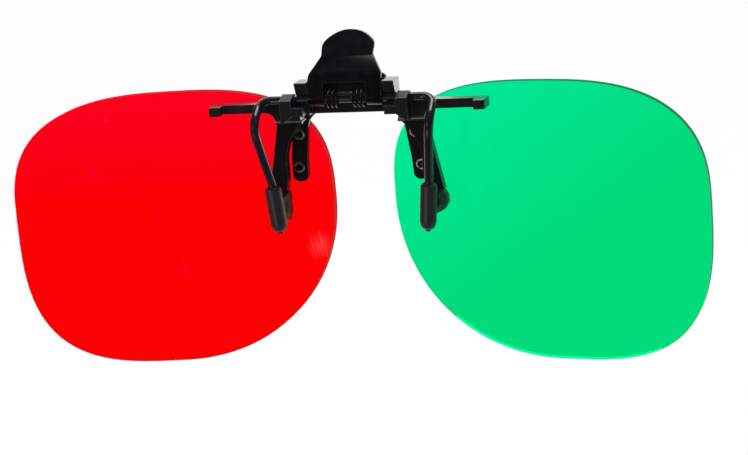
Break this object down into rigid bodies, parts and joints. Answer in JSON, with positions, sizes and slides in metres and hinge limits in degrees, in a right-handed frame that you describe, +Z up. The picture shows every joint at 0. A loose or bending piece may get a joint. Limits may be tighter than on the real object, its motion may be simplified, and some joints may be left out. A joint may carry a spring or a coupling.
{
  "type": "color blind glasses",
  "caption": "Flip-up clip-on for spectacles with a red and a green rimless lens, a sprung double wire claw with a thumb lever, padded prongs and side hooks",
  "frame": {"origin": "middle of the jaw between the rubber sleeves and the pads, on the pair's middle plane, where the wearer's own spectacle lens edge is held", "axes": "+X to the wearer's right, toward the green lens; +Y away from the wearer, through the lenses; +Z up, toward the thumb lever"},
  "size_m": [0.1306, 0.0147, 0.0613],
  "materials": {
    "body_plastic": "moulded black plastic with a soft gloss",
    "black_metal": "gloss black lacquer on sheet and wire",
    "soft_pad": "smooth dark rubber",
    "spring_steel": "drawn spring wire",
    "rivet_metal": "dark tubular metal",
    "red_tint": "evenly dyed red lens",
    "green_tint": "evenly dyed green lens",
    "bushing_plastic": "clear to milky nylon"
  },
  "bodies": {
    "clip": {"clip_body": "body_plastic", "left_prong": "black_metal", "right_prong": "black_metal", "left_pad": "soft_pad", "right_pad": "soft_pad", "finger_plate": "black_metal", "torsion_spring": "spring_steel", "detent_spring": "spring_steel", "flip_pin": "spring_steel"},
    "grip": {"thumb_lever": "black_metal", "claw_wire": "black_metal", "left_sleeve": "soft_pad", "right_sleeve": "soft_pad"},
    "lens_carrier": {"lens_bridge": "black_metal", "red_lens": "red_tint", "green_lens": "green_tint", "left_rivets": "rivet_metal", "right_rivets": "rivet_metal", "left_washers": "bushing_plastic", "right_washers": "bushing_plastic", "lens_bushings": "bushing_plastic"}
  },
  "joints": [
    {"name": "grip_hinge", "type": "hinge", "parent": "clip", "child": "grip", "pos_m": [0, 0.00045, 0.01945], "axis": [-1, 0, 0], "range_deg": [0, 22], "stiffness_Nm_per_rad": 0.1, "springref_deg": -22.92, "deforming": ["torsion_spring"]},
    {"name": "flip_hinge", "type": "hinge", "parent": "clip", "child": "lens_carrier", "pos_m": [0, 0.005, 0.0194], "axis": [1, 0, 0], "range_deg": [0, 90]}
  ]
}
